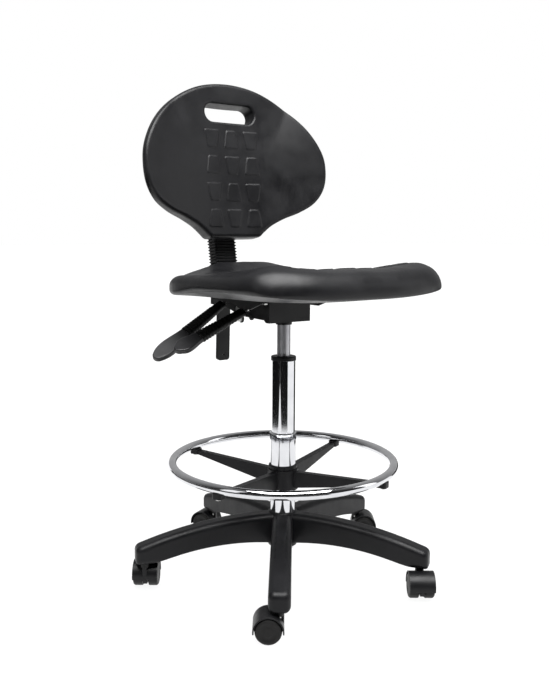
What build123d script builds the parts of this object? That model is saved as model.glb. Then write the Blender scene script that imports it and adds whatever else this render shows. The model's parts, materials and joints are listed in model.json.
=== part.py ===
from build123d import *
from math import cos, sin, radians
import os

# Drafting chair on a five-star caster base.
# Millimetres, +Z up.  The origin is on the floor, under the column's axis.
# The sitter faces -Y, so +X is the sitter's left.

# ---- Driving dimensions -------------------------------------------------

# Fits
slide_gap = 0.3             # radial room where one piece slides or turns in another
pin_gap = 0.15              # radial room of a wheel or lever on its pin
press_gap = 0.05            # radial room of a piece that is pressed or clamped home
soft_gap = 0.4              # room round a moulded foam piece

# Five-star base
base_tip_radius = 317.5
base_heading = 90           # direction of the first arm
arm_count = 5
arm_width = 42
arm_bottom_z = 57
arm_tip_height = 36
arm_root_top_z = 140
arm_top_rise = 14           # how far the top's arch stands above a straight line
arm_arch = 26               # how far the underside's arch rises above its ends
arm_roof = 15               # thickness over the channel under the arm
arm_wall = 4.5
arm_edge_radius = 12
arm_nose = 14               # radius of the tip's upper corner
hub_wall = 4                # round the column's sleeve
hub_height = 75
hub_top_z = 143
stem_radius = 298           # circle that the caster stems stand on

# Casters
wheel_diameter = 50
wheel_width = 20
wheel_spacing = 12          # gap between the two wheels
caster_trail = 20
caster_headings = [120, 55, 145.5, 235.5, 325.5]
hood_wall = 2.5
hood_room = 1.6             # between the tread and the hood
stem_diameter = 11
stem_length = 36            # inside the arm
axle_diameter = 6
hood_drop = 1.2             # from the arm's underside to the top of the hood

# Column
sleeve_wall = 1.7
sleeve_top_z = 300
sleeve_collar_wall = 1.5    # how far the collar stands out from the sleeve
sleeve_collar_height = 15
tube_diameter = 50
tube_bore = 45
tube_top_z = 469.5
tube_bottom_z = 60
cap_rim = 1.5               # how far the cap stands out from the tube
cap_height = 9
cylinder_diameter = 28
cylinder_bottom_z = 200
cylinder_top_z = 583
taper_length = 34
taper_diameter = 25.5
rod_diameter = 10
piston_z = 430              # centre of the piston head
bushing_length = 70
button_diameter = 9
button_height = 5

# Foot ring
ring_diameter = 470         # to the middle of its tube
ring_tube = 19
ring_z = 251
ring_heading = 23.5
spoke_count = 4
spoke_width = 14
ring_hub_wall = 6
ring_hub_bottom_z = 192
ring_hub_top_z = 236
lock_collar_wall = 3.5
lock_collar_height = 9
spoke_pad_length = 26
spoke_pad_width = 20
spoke_pad_height = 9

# Mechanism
housing_width = 104
housing_front_y = -22
housing_back_y = 168
housing_bottom_z = 551
housing_top_z = 596
housing_step = 5            # how far the floor stands above the front lip
floor_end_y = 30            # behind this the housing is open below
lobe_y = 46                 # round lobe on each cheek's lower edge
stop_bolt_y = 86
stop_bolt_z = 552
stop_bolt_diameter = 8
stop_bolt_head = 22
sheet = 3                   # pressed steel
socket_diameter = 34
socket_bottom_z = 545
plate_thickness = 4
plate_width = 176
plate_front_y = -62
plate_back_y = 168
flange_height = 20
bolt_spread_x = 128
bolt_spread_y = 150

# Levers: (root point, heading from the sitter's right, droop, grip end, paddle end)
height_lever = dict(root=(-50, 60, 575), heading=0, droop=24, grip_end=128, tip=190)
tilt_lever = dict(root=(-50, 150, 586), heading=12, droop=28.5, grip_end=130, tip=228)
lever_rod = 8
grip_start = 14
grip_width = 30
grip_thickness = 17
lever_roll = 25             # how far the grips and paddles turn to face forward
rib_pitch = 7.5
rib_count = 12
rib_rise = 2.2
paddle_width = 37
paddle_thickness = 12

# Back carrier and upright bar, in the back's own upright frame
tilt_axis_y = 92
tilt_axis_z = 572
back_lean = 2.5             # forward lean of the upright frame in the rest pose
tilt_axle_diameter = 12
arm_channel_width = 62
channel_wall = 4
bar_y = 152                 # bar's centre, behind the tilt axis
bar_width = 32
bar_thickness = 9
bar_bottom = -142           # heights from the tilt axis
bar_bend = 69
bar_bend_radius = 60
bar_top_lean = 12.5
bar_upper_length = 300
carrier_width = 58
carrier_depth = 26
carrier_bottom = -9
carrier_top = 60
knob_diameter = 46

# Backrest, measured along the leaning upper bar from its bend
back_half_width = 234
back_bottom = 66
back_top = 404
back_face = 76              # from the bar's centre forward to the middle of the face
back_wing = 45              # how far the wings' ends come forward
back_middle_thickness = 46
back_edge_thickness = 26
slot_width = 126
slot_height = 40
slot_height_up = 339
mount_plate_width = 80
mount_plate_height = 110
mount_plate_thickness = 5
mount_plate_up = 225
bellows_width = 54
bellows_depth = 37
bellows_wall = 2.5

# Seat
seat_width = 470
seat_depth = 455
seat_middle_y = -57
seat_rim_bottom_z = 612
seat_front_z = 676
seat_dish_z = 656
seat_back_z = 667
belly_width = 300
belly_depth = 290
board_width = 250
board_depth = 240
board_thickness = 12

# ---- Derived places -----------------------------------------------------

arm_directions = [base_heading + 360 / arm_count * k for k in range(arm_count)]
spoke_directions = [ring_heading + 360 / spoke_count * k for k in range(spoke_count)]
axle_z = wheel_diameter / 2
sleeve_diameter = tube_diameter + 2 * (slide_gap + sleeve_wall)
sleeve_collar_diameter = sleeve_diameter + 2 * sleeve_collar_wall
hub_diameter = sleeve_diameter + 2 * hub_wall
ring_hub_diameter = sleeve_diameter + 2 * ring_hub_wall
lock_collar_diameter = sleeve_diameter + 2 * lock_collar_wall
cap_diameter = tube_diameter + 2 * cap_rim
cap_top_z = tube_top_z + cap_height
plate_top_z = housing_top_z + plate_thickness


def disc(radius, bottom, top, x=0, y=0):
    """An upright cylinder between two heights."""
    return Pos(x, y, (bottom + top) / 2) * Cylinder(radius, top - bottom)


def block(low, high):
    """A box between two corners."""
    size = [b - a for a, b in zip(low, high)]
    middle = [(a + b) / 2 for a, b in zip(low, high)]
    return Pos(*middle) * Box(*size)


def pipe(outer, inner, bottom, top):
    """An upright tube, by its two radii and two heights."""
    return disc(outer, bottom, top) - disc(inner, bottom - 1, top + 1)


def straight_bar(radius, start, end):
    """A round bar from one point to another."""
    run = end - start
    middle = Plane(origin=start + run / 2, z_dir=run)
    return middle.location * Cylinder(radius, run.length)


def profile(points, plane, depth):
    """A closed outline of straight edges, thickened both ways from its plane."""
    return extrude(plane * make_face(Polyline(*points, close=True)), depth / 2, both=True)


def turned(shape, angle):
    """The same shape turned about the column's axis."""
    return Rot(0, 0, angle) * shape


# ---- Base ---------------------------------------------------------------

def arm_top_points(start, end, below):
    """Three points of the arm's arched top, or of an arch at some depth below it."""
    root = hub_diameter / 4
    fall = arm_root_top_z - arm_bottom_z - arm_tip_height
    points = []
    for x in (start, (start + end) / 2, end):
        share = (x - root) / (base_tip_radius - root)
        arch = 4 * arm_top_rise * share * (1 - share)
        points.append((x, arm_root_top_z - fall * share + arch - below))
    return points


def base_arm():
    """One arm along +X: arched top and underside, and one round along its nose and top edges."""
    root = hub_diameter / 4
    root_bottom_z = hub_top_z - hub_height + 8
    inner = stem_radius - arm_nose
    top = arm_top_points(root, base_tip_radius, 0)
    edge = [
        ThreePointArc(*top),
        Polyline(top[-1], (base_tip_radius, arm_bottom_z), (inner, arm_bottom_z)),
        ThreePointArc(
            (inner, arm_bottom_z),
            ((stem_radius + root) / 2, arm_bottom_z + arm_arch),
            (root, root_bottom_z),
        ),
        Line((root, root_bottom_z), top[0]),
    ]
    side = make_face(Curve() + edge)
    low_corner, top_corner = side.vertices().group_by(Axis.X)[-1].sort_by(Axis.Y)
    side = fillet(top_corner, arm_nose)
    side = fillet(side.vertices().sort_by(lambda v: abs(v.X - low_corner.X) + abs(v.Y - low_corner.Y))[0], 6)
    arm = extrude(Plane.XZ * side, arm_width / 2, both=True)
    outer_face = arm.faces().filter_by(Axis.X).sort_by(Axis.X)[-1]
    return fillet(outer_face.edges().filter_by(Axis.Z), arm_edge_radius)


def arm_hollow():
    """The channel under one arm, between its walls and below its arched roof."""
    start = hub_diameter / 2 + 16
    end = stem_radius - 24
    low, middle, high = arm_top_points(start, end, arm_roof)
    floor = arm_bottom_z - 5
    edge = [
        ThreePointArc(low, middle, high),
        Polyline(high, (end, floor), (start, floor), low),
    ]
    return extrude(Plane.XZ * make_face(Curve() + edge), arm_width / 2 - arm_wall, both=True)


def star_base():
    """The moulded base, with the column's seat in its hub and a socket in each arm."""
    hub = disc(hub_diameter / 2, hub_top_z - hub_height, hub_top_z)
    hub = chamfer(hub.edges().sort_by(Axis.Z)[-1], 2)
    star = hub
    for angle in arm_directions:
        star += turned(base_arm(), angle)
    for angle in arm_directions:
        star -= turned(arm_hollow(), angle)
        socket = disc(stem_diameter / 2 + slide_gap, arm_bottom_z - 1, arm_bottom_z + stem_length + 1)
        star -= turned(Pos(stem_radius, 0, 0) * socket, angle)
    seat_z = hub_top_z - hub_height + 14
    star -= disc(sleeve_diameter / 2 + press_gap, seat_z, hub_top_z + 1)
    star -= disc(tube_diameter / 2 + press_gap, 0, hub_top_z + 1)
    return star


# ---- Casters ------------------------------------------------------------

def place_caster(shape, k):
    """Move a caster's piece, made with its stem on the origin's axis, under arm k."""
    angle = radians(arm_directions[k])
    return Pos(stem_radius * cos(angle), stem_radius * sin(angle), 0) * Rot(0, 0, caster_headings[k]) * shape


def caster_hood():
    """The hood: a curved fender over both wheels, a middle web and a stem boss."""
    inner = wheel_diameter / 2 + hood_room
    outer = inner + hood_wall
    width = 2 * wheel_width + wheel_spacing
    middle = Pos(caster_trail, 0, axle_z) * Rot(90, 0, 0)
    shell = middle * (Cylinder(outer, width) - Cylinder(inner, width + 1))
    below = block((caster_trail - outer - 1, -width, -outer), (caster_trail + outer + 1, width, axle_z - 4))
    shell -= below
    web = middle * Cylinder(inner + 0.5, wheel_spacing - 3)
    web -= block((caster_trail - outer, -width, -outer), (caster_trail + outer, width, axle_z - 14))
    boss = disc(stem_diameter / 2 + 3.5, axle_z - 6, arm_bottom_z - hood_drop)
    boss -= block((-20, wheel_spacing / 2 - 1.5, 0), (20, 20, axle_z + inner - 4))
    boss -= block((-20, -20, 0), (20, 1.5 - wheel_spacing / 2, axle_z + inner - 4))
    hood = shell + web + boss
    hood -= disc(stem_diameter / 2 + press_gap, axle_z, arm_bottom_z + 1)
    hood -= middle * Cylinder(axle_diameter / 2 + press_gap, width)
    return hood


def caster_pins():
    """The stem with its collar, and the axle: two steel pins in one hood."""
    stem = disc(stem_diameter / 2, axle_z, arm_bottom_z + stem_length)
    stem = chamfer(stem.edges().sort_by(Axis.Z)[-1], 1.5)
    axle = Pos(caster_trail, 0, axle_z) * Rot(90, 0, 0)
    axle = axle * Cylinder(axle_diameter / 2, 2 * wheel_width + wheel_spacing - 6)
    return Compound([stem, axle])


def caster_wheel(side):
    """One wheel of the pair: rounded tread, dished face, blind bore."""
    radius = wheel_diameter / 2
    inner_face = wheel_spacing / 2
    outer_face = inner_face + wheel_width
    dish = 1.4
    outline = [
        Line((0, inner_face), (radius - 2, inner_face)),
        ThreePointArc((radius - 2, inner_face), (radius - 0.6, inner_face + 0.6), (radius, inner_face + 2)),
        Line((radius, inner_face + 2), (radius, outer_face - 5)),
        ThreePointArc((radius, outer_face - 5), (radius - 1.5, outer_face - 1.5), (radius - 5, outer_face)),
        Line((radius - 5, outer_face), (radius - 7, outer_face)),
        ThreePointArc(
            (radius - 7, outer_face),
            (radius - 12, outer_face - dish),
            (radius - 17, outer_face - dish / 2),
        ),
        Line((radius - 17, outer_face - dish / 2), (0, outer_face - dish / 2)),
        Line((0, outer_face - dish / 2), (0, inner_face)),
    ]
    wheel = revolve(Plane.XY * make_face(Curve() + outline), Axis.Y)
    bore = Rot(90, 0, 0) * Cylinder(axle_diameter / 2 + pin_gap, 2 * (outer_face - 2.5))
    wheel -= bore
    if side < 0:
        wheel = mirror(wheel, Plane.XZ)
    return Pos(caster_trail, 0, axle_z) * wheel


# ---- Column -------------------------------------------------------------

def column_sleeve():
    """The lower chrome tube that the foot ring slides on."""
    bottom = hub_top_z - hub_height + 14
    return pipe(sleeve_diameter / 2, tube_diameter / 2 + slide_gap, bottom, sleeve_top_z)


def sleeve_collar():
    """The collar on top of the sleeve, round the lift's tube."""
    top = sleeve_top_z + sleeve_collar_height
    collar = pipe(sleeve_collar_diameter / 2, tube_diameter / 2 + press_gap, sleeve_top_z, top)
    return chamfer(collar.edges().group_by(Axis.Z)[-1].sort_by(SortBy.RADIUS)[-1], 1.5)


def lift_outer_tube():
    """The gas lift's outer tube, with a floor that holds the rod's end."""
    tube = disc(tube_diameter / 2, tube_bottom_z, tube_top_z)
    tube -= disc(tube_bore / 2, tube_bottom_z + 4, tube_top_z + 1)
    return tube - disc(rod_diameter / 2 + slide_gap, tube_bottom_z - 1, tube_bottom_z + 5)


def lift_top_cap():
    """The plastic cap over the tube's mouth."""
    cap = pipe(cap_diameter / 2, cylinder_diameter / 2 + slide_gap, tube_top_z, cap_top_z)
    return fillet(cap.edges().group_by(Axis.Z)[-1].sort_by(SortBy.RADIUS)[-1], 2.5)


def guide_bushing():
    """The long plastic bushing that guides the cylinder in the tube's mouth."""
    return pipe(
        tube_bore / 2 - press_gap, cylinder_diameter / 2 + slide_gap, tube_top_z - bushing_length, tube_top_z
    )


def retaining_clip():
    """The clip on the rod's end, under the tube."""
    groove = rod_diameter / 2 - 1 + press_gap
    return pipe(rod_diameter / 2 + 5, groove, tube_bottom_z - 4, tube_bottom_z - 2.5)


def thrust_bearing():
    """Two washers and a ball cage on the tube's floor."""
    floor = tube_bottom_z + 4
    washer = pipe(rod_diameter / 2 + 6.5, rod_diameter / 2 + slide_gap, floor, floor + 1.5)
    cage = pipe(rod_diameter / 2 + 5.5, rod_diameter / 2 + 1, floor + 1.5, floor + 4.5)
    return Compound([washer, cage, Pos(0, 0, 4.5) * washer])


def bump_stop():
    """The rubber buffer round the foot of the rod."""
    floor = tube_bottom_z + 10
    return pipe(rod_diameter / 2 + 8, rod_diameter / 2 + slide_gap, floor, floor + 18)


def piston_rod():
    """The rod, from the clip's groove under the tube up to the piston."""
    rod = disc(rod_diameter / 2, tube_bottom_z - 6, piston_z - 6)
    groove = pipe(rod_diameter / 2 + 1, rod_diameter / 2 - 1, tube_bottom_z - 4, tube_bottom_z - 2.5)
    return rod - groove


def piston_head():
    """The piston, screwed on the rod's top inside the cylinder."""
    return disc(cylinder_diameter / 2 - 2.5 - slide_gap, piston_z - 6, piston_z + 6)


def gas_cylinder():
    """The moving cylinder: a tube closed by a rod seal below and a taper above."""
    radius = cylinder_diameter / 2
    taper_z = cylinder_top_z - taper_length
    outline = Polyline(
        (0, cylinder_bottom_z),
        (radius - 1, cylinder_bottom_z),
        (radius, cylinder_bottom_z + 1),
        (radius, taper_z),
        (taper_diameter / 2, cylinder_top_z),
        (0, cylinder_top_z),
        close=True,
    )
    body = revolve(Plane.XZ * make_face(outline), Axis.Z)
    body -= disc(radius - 2.5, cylinder_bottom_z + 14, cylinder_top_z - taper_length - 6)
    body -= disc(rod_diameter / 2 + slide_gap, cylinder_bottom_z - 1, cylinder_bottom_z + 15)
    return body - disc(button_diameter / 2 + slide_gap, cylinder_top_z - 12, cylinder_top_z + 1)


def release_button():
    """The valve's button in the cylinder's top."""
    return disc(button_diameter / 2, cylinder_top_z - 7, cylinder_top_z + button_height)


# ---- Foot ring ----------------------------------------------------------

def foot_ring():
    """The bent steel tube."""
    return Pos(0, 0, ring_z) * Torus(ring_diameter / 2, ring_tube / 2)


def spoke():
    """One tapering spoke along +X, with the saddle that holds the ring."""
    end = ring_diameter / 2
    ring_bottom = ring_z - ring_tube / 2
    points = [
        (ring_hub_diameter / 4, ring_hub_top_z - 4),
        (end - spoke_pad_length / 2, ring_bottom),
        (end + spoke_pad_length / 2 - 6, ring_bottom),
        (end + spoke_pad_length / 2 - 6, ring_bottom - spoke_pad_height),
        (end - spoke_pad_length / 2, ring_bottom - spoke_pad_height),
        (ring_hub_diameter / 4, ring_hub_bottom_z + 3),
    ]
    arm = profile(points, Plane.XZ, spoke_width)
    saddle = block(
        (end - spoke_pad_length / 2, -spoke_pad_width / 2, ring_bottom - spoke_pad_height),
        (end + spoke_pad_length / 2 - 4, spoke_pad_width / 2, ring_bottom + 3),
    )
    saddle = fillet(saddle.edges().filter_by(Axis.Z), 5)
    return arm + saddle


def ring_hub():
    """The four-armed hub that carries the ring on the sleeve."""
    hub = disc(ring_hub_diameter / 2, ring_hub_bottom_z, ring_hub_top_z)
    for angle in spoke_directions:
        hub += turned(spoke(), angle)
    hub -= disc(sleeve_diameter / 2 + slide_gap, ring_hub_bottom_z - 1, ring_hub_top_z + 1)
    groove = Pos(0, 0, ring_z) * Torus(ring_diameter / 2, ring_tube / 2 + press_gap)
    hub -= groove
    for angle in spoke_directions:
        hub -= turned(Pos(ring_diameter / 2, 0, 0) * disc(2.5, ring_hub_bottom_z, ring_z), angle)
    return hub


def ring_screws():
    """The four screws up through the saddles."""
    head_z = ring_z - ring_tube / 2 - spoke_pad_height
    screw = disc(5, head_z - 3, head_z) + disc(2.4, head_z - 0.5, ring_z - ring_tube / 2 - 0.2)
    return Compound([turned(Pos(ring_diameter / 2, 0, 0) * screw, a) for a in spoke_directions])


def ring_lock_collar():
    """The clamping collar that screws down on the hub."""
    top = ring_hub_top_z + lock_collar_height
    collar = pipe(lock_collar_diameter / 2, sleeve_diameter / 2 + slide_gap, ring_hub_top_z + slide_gap, top)
    collar = fillet(collar.edges().group_by(Axis.Z)[-1].sort_by(SortBy.RADIUS)[-1], 2)
    for k in range(18):
        notch = Cylinder(1.2, lock_collar_height * 0.6)
        notch = Pos(lock_collar_diameter / 2 + 0.4, 0, ring_hub_top_z + lock_collar_height / 2) * notch
        collar -= turned(notch, 20 * k)
    return collar


# ---- Mechanism ----------------------------------------------------------

def cylinder_taper(room):
    """The cylinder's upper end, enlarged by a little room all round."""
    radius = cylinder_diameter / 2 + room
    taper_z = cylinder_top_z - taper_length
    outline = Polyline(
        (0, socket_bottom_z - 1),
        (radius, socket_bottom_z - 1),
        (radius, taper_z),
        (taper_diameter / 2 + room, cylinder_top_z),
        (0, cylinder_top_z),
        close=True,
    )
    return revolve(Plane.XZ * make_face(outline), Axis.Z)


def lever_seat(lever):
    """The lever's frame at its pin: +X runs outward, +Y along the pin, +Z up."""
    root_x, root_y, root_z = lever["root"]
    inward = 8
    droop = radians(lever["droop"])
    heading = radians(lever["heading"])
    pivot = (
        root_x + inward * cos(droop) * cos(heading),
        root_y + inward * cos(droop) * sin(heading),
        root_z + inward * sin(droop),
    )
    return Pos(*pivot) * Rot(0, 0, 180 + lever["heading"])


def lever_frame(lever):
    """The lever's own frame: +X runs out along the drooping rod from its root."""
    return lever_seat(lever) * Rot(0, lever["droop"], 0) * Pos(8, 0, 0)


def lobe(radius):
    """A round lobe in a cheek's plane."""
    return Rot(0, 90, 0) * Cylinder(radius, sheet)


def mechanism_housing():
    """The pressed housing: two cheeks, a floor, a front wall, the column's socket and lever lugs."""
    mid_y = tilt_axis_y
    floor_z = housing_bottom_z + housing_step
    cheek = [
        (housing_front_y, housing_bottom_z),
        (housing_front_y + 12, housing_bottom_z),
        (housing_front_y + 19, floor_z),
        (mid_y, floor_z + 2),
        (mid_y + 28, floor_z + 10),
        (housing_back_y, housing_top_z - 20),
        (housing_back_y, housing_top_z),
        (housing_front_y, housing_top_z),
    ]
    room = [
        (housing_front_y + sheet, floor_z + sheet),
        (floor_end_y, floor_z + sheet),
        (floor_end_y, housing_bottom_z - 10),
        (housing_back_y + 10, housing_bottom_z - 10),
        (housing_back_y + 10, housing_top_z + 10),
        (housing_front_y + sheet, housing_top_z + 10),
    ]
    housing = profile(cheek, Plane.YZ, housing_width)
    housing -= profile(room, Plane.YZ, housing_width - 2 * sheet)
    housing += disc(socket_diameter / 2, socket_bottom_z, cylinder_top_z - 2)
    for side in (-1, 1):
        housing += Pos(side * (housing_width - sheet) / 2, lobe_y, floor_z + 5) * lobe(9)
    bolt_spot = Pos(-(housing_width - sheet) / 2, stop_bolt_y, stop_bolt_z)
    housing += bolt_spot * lobe(stop_bolt_diameter / 2 + 5)
    housing -= bolt_spot * Rot(0, 90, 0) * Cylinder(stop_bolt_diameter / 2 + press_gap, 2 * sheet)
    housing -= cylinder_taper(press_gap)
    for lever in (height_lever, tilt_lever):
        window = Pos(*lever["root"]) * Box(4 * sheet, lever_rod + 5, lever_rod + 7)
        housing -= window
        lug = Pos(2.6, 0, 0) * Box(12, sheet, 10) - Rot(90, 0, 0) * Cylinder(2.5 + press_gap, 10)
        for side in (-1, 1):
            housing += lever_seat(lever) * Pos(0, side * (lever_rod / 2 + 4.5), 0) * lug
    axle_hole = Pos(0, tilt_axis_y, tilt_axis_z) * Rot(0, 90, 0)
    return housing - axle_hole * Cylinder(tilt_axle_diameter / 2 + press_gap, housing_width + 10)


def bolt_places():
    """The four seat bolts' places."""
    middle_y = (plate_front_y + plate_back_y) / 2
    return [
        (sx * bolt_spread_x / 2, middle_y + sy * bolt_spread_y / 2) for sx in (-1, 1) for sy in (-1, 1)
    ]


def seat_plate():
    """The plate on the housing, with a tapering flange turned down along each side."""
    half = plate_width / 2
    plate = block((-half, plate_front_y, housing_top_z), (half, plate_back_y, plate_top_z))
    plate = fillet(plate.edges().filter_by(Axis.Z), 14)
    flange = [
        (plate_front_y + 16, plate_top_z),
        (plate_front_y + 16, housing_top_z - 2),
        (plate_front_y + 56, plate_top_z - flange_height),
        (tilt_axis_y - 54, plate_top_z - flange_height),
        (tilt_axis_y - 34, plate_top_z - 12),
        (plate_back_y - 18, plate_top_z - 9),
        (plate_back_y - 18, plate_top_z),
    ]
    for side in (-1, 1):
        plate += Pos(side * (half - sheet / 2), 0, 0) * profile(flange, Plane.YZ, sheet)
    for x, y in bolt_places():
        plate -= disc(4 + slide_gap, housing_top_z - 1, plate_top_z + 1, x, y)
    return plate


def seat_bolts():
    """Four hexagon bolts up into the seat's board."""
    bolts = []
    for x, y in bolt_places():
        head = Pos(x, y, housing_top_z - 5.5) * extrude(RegularPolygon(7, 6), 5.5)
        bolts.append(head + disc(4, housing_top_z - 1, seat_rim_bottom_z + 16, x, y))
    return Compound(bolts)


def tilt_axle():
    """The axle that the back carrier tilts on, with a head and a ring at its ends."""
    reach = housing_width / 2
    spot = Pos(0, tilt_axis_y, tilt_axis_z) * Rot(0, 90, 0)
    axle = Cylinder(tilt_axle_diameter / 2, 2 * reach + 8)
    for side in (-1, 1):
        axle += Pos(0, 0, side * (reach + 2)) * Cylinder(tilt_axle_diameter / 2 + 3, 4 - 2 * press_gap)
    return spot * axle


def stop_bolt():
    """The bolt in the right cheek's lower lobe, with a long round head outside."""
    inner_x = -housing_width / 2 + sheet
    outer_x = -housing_width / 2 - press_gap
    shank = Cylinder(stop_bolt_diameter / 2, inner_x - outer_x + 2)
    head = Cylinder(stop_bolt_diameter / 2 + 2.5, stop_bolt_head)
    head = chamfer(head.edges().sort_by(Axis.Z)[0], 1.5)
    bolt = Pos(0, 0, (inner_x + outer_x) / 2 - 1) * shank + Pos(0, 0, outer_x - stop_bolt_head / 2) * head
    return Pos(0, stop_bolt_y, stop_bolt_z) * Rot(0, 90, 0) * bolt


def lever_pins():
    """The two levers' hinge pins."""
    pins = []
    for lever in (height_lever, tilt_lever):
        pins.append(lever_seat(lever) * Rot(90, 0, 0) * Cylinder(2.5, lever_rod + 14))
    return Compound(pins)


# ---- Levers -------------------------------------------------------------

def lever_eye(lever):
    """The rod's eye on its pin."""
    eye = Rot(90, 0, 0) * Cylinder(5.5, lever_rod + 2)
    return lever_seat(lever) * eye


def outer_rod(lever):
    """The straight rod from the pin out through the grip."""
    reach = lever["grip_end"] + 20
    return lever_frame(lever) * Pos(reach / 2 - 4, 0, 0) * Rot(0, 90, 0) * Cylinder(lever_rod / 2, reach + 8)


def pin_hole(lever):
    return lever_seat(lever) * Rot(90, 0, 0) * Cylinder(2.5 + pin_gap, 30)


def height_lever_rod():
    """The height lever's rod, with a finger that reaches over the release button."""
    pivot = lever_seat(height_lever).position
    finger_z = cylinder_top_z + button_height + 0.4
    knee = pivot + Vector(15, 0, 3)
    finger = straight_bar(2.8, pivot, knee) + Pos(knee) * Sphere(3.1)
    finger += straight_bar(2.8, knee, Vector(-1, 1, finger_z + 3))
    foot = disc(4.5, finger_z, finger_z + 5.5)
    return outer_rod(height_lever) + lever_eye(height_lever) + finger + foot - pin_hole(height_lever)


def tilt_lever_rod():
    """The back-angle lever's rod, with a cam behind its pin."""
    cam = lever_seat(tilt_lever) * Pos(-4, 0, 0) * Box(9, lever_rod, 7)
    return outer_rod(tilt_lever) + lever_eye(tilt_lever) + cam - pin_hole(tilt_lever)


def oval(width, thickness):
    """The grip's section: a rounded box."""
    return RectangleRounded(thickness, width, thickness * 0.42)


def lever_grip(lever):
    """A tapering oval sleeve with ribs round its outer half."""
    start = grip_start
    end = lever["grip_end"]
    inner = Plane((start, 0, 0), z_dir=(1, 0, 0))
    outer = Plane((end, 0, 0), z_dir=(1, 0, 0))
    small = oval(grip_width * 0.7, grip_thickness * 0.72)
    large = oval(grip_width - 2 * rib_rise, grip_thickness - 2 * rib_rise)
    grip = loft([inner * small, outer * large])
    for k in range(rib_count):
        at = end - 3 - rib_pitch * k
        share = 1 - 0.28 * (end - at) / (end - start)
        section = Plane((at, 0, 0), z_dir=(1, 0, 0)) * oval(grip_width * share, grip_thickness * share)
        grip += extrude(section, rib_pitch / 4, both=True)
    grip -= Pos((start + end) / 2, 0, 0) * Rot(0, 90, 0) * Cylinder(lever_rod / 2 + press_gap, 200)
    return lever_frame(lever) * Rot(-lever_roll, 0, 0) * grip


def lever_paddle(lever):
    """The flat blade on a lever's end, narrowing to a round, slightly drooping tip."""
    start = lever["grip_end"] + 0.3
    length = lever["tip"] - start
    half = paddle_width / 2
    side = [
        (start, half * 0.72),
        (start + length * 0.35, half * 0.94),
        (start + length * 0.7, half),
        (start + length - 8, half * 0.62),
    ]
    mirrored = [(x, -y) for x, y in reversed(side)]
    outline = [Spline(*side), ThreePointArc(side[-1], (start + length, 0), mirrored[0])]
    outline += [Spline(*mirrored), Line(mirrored[-1], side[0])]
    blade = extrude(make_face(Curve() + outline), paddle_thickness / 2, both=True)
    blade = fillet(blade.edges().group_by(Axis.Z)[-1], 3)
    blade = fillet(blade.edges().group_by(Axis.Z)[0], 3)
    blade -= Pos(start, 0, 0) * Rot(0, 90, 0) * Cylinder(lever_rod / 2 + press_gap, 42)
    return lever_frame(lever) * Rot(-lever_roll, 0, 0) * blade


# ---- Back ---------------------------------------------------------------

back_frame = Pos(0, tilt_axis_y, tilt_axis_z) * Rot(back_lean, 0, 0)
bar_frame = back_frame * Pos(0, bar_y, bar_bend) * Rot(-bar_top_lean, 0, 0)


def back_carrier():
    """The tilting channel and the upright socket at its end that holds the bar."""
    half = arm_channel_width / 2
    front = -14
    back = bar_y - carrier_depth / 2 + 2
    channel = block((-half, front, -10), (half, back, 12))
    channel -= block(
        (-half + channel_wall, front - 1, -11), (half - channel_wall, back - 8, 12 - channel_wall)
    )
    socket = block(
        (-carrier_width / 2, bar_y - carrier_depth / 2, carrier_bottom),
        (carrier_width / 2, bar_y + carrier_depth / 2, carrier_top),
    )
    socket = fillet(socket.edges().filter_by(Axis.Z), 4)
    carrier = channel + socket
    carrier -= block(
        (-bar_width / 2 - slide_gap, bar_y - bar_thickness / 2 - slide_gap, carrier_bottom - 1),
        (bar_width / 2 + slide_gap, bar_y + bar_thickness / 2 + slide_gap, carrier_top + 1),
    )
    carrier -= Rot(0, 90, 0) * Cylinder(tilt_axle_diameter / 2 + pin_gap, arm_channel_width + 2)
    stud_hole = Rot(90, 0, 0) * Cylinder(4 + slide_gap, carrier_depth)
    carrier -= Pos(0, bar_y + carrier_depth / 2 + bar_thickness / 2, 28) * stud_hole
    return back_frame * carrier


def back_knob():
    """The lobed hand knob behind the socket, with the stud that clamps the bar."""
    face = bar_y + carrier_depth / 2 + 1
    knob = Rot(-90, 0, 0) * Pos(0, 0, 11) * Cylinder(knob_diameter / 2, 22)
    knob = fillet(knob.edges().filter_by(GeomType.CIRCLE), 4)
    for k in range(8):
        flute = Rot(0, 45 * k, 0) * Pos(knob_diameter / 2 + 5, 12, 0) * Rot(90, 0, 0) * Cylinder(8, 30)
        knob -= flute
    stud_end = bar_y + bar_thickness / 2 + 2 * slide_gap
    stud = Rot(-90, 0, 0) * Pos(0, 0, (stud_end - face + 1) / 2) * Cylinder(4, face - stud_end + 1)
    return back_frame * Pos(0, face, 28) * (knob + stud)


def back_bar():
    """The flat steel bar: upright below, leaning back above, a hole near its foot."""
    lean = radians(bar_top_lean)
    top = (0, bar_y + bar_upper_length * sin(lean), bar_bend + bar_upper_length * cos(lean))
    path = FilletPolyline((0, bar_y, bar_bottom), (0, bar_y, bar_bend), top, radius=bar_bend_radius)
    section = Plane(origin=(0, bar_y, bar_bottom)) * Rectangle(bar_width, bar_thickness)
    bar = sweep(section, path=path)
    foot = bar.edges().filter_by(Axis.Y).group_by(Axis.Z)[0]
    bar = fillet(foot, 7)
    bar -= Pos(0, bar_y, bar_bottom + 13) * Rot(90, 0, 0) * Cylinder(3, 2 * bar_thickness)
    return back_frame * bar


def back_bolt_places():
    """The four bolts through the mount plate: across and up the leaning bar."""
    return [(sx * 28, mount_plate_up + sz * 38) for sx in (-1, 1) for sz in (-1, 1)]


def forward_disc(radius, near, far, x, up):
    """A cylinder that runs forward from the leaning bar."""
    return Pos(x, -(near + far) / 2, up) * Rot(90, 0, 0) * Cylinder(radius, far - near)


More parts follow.
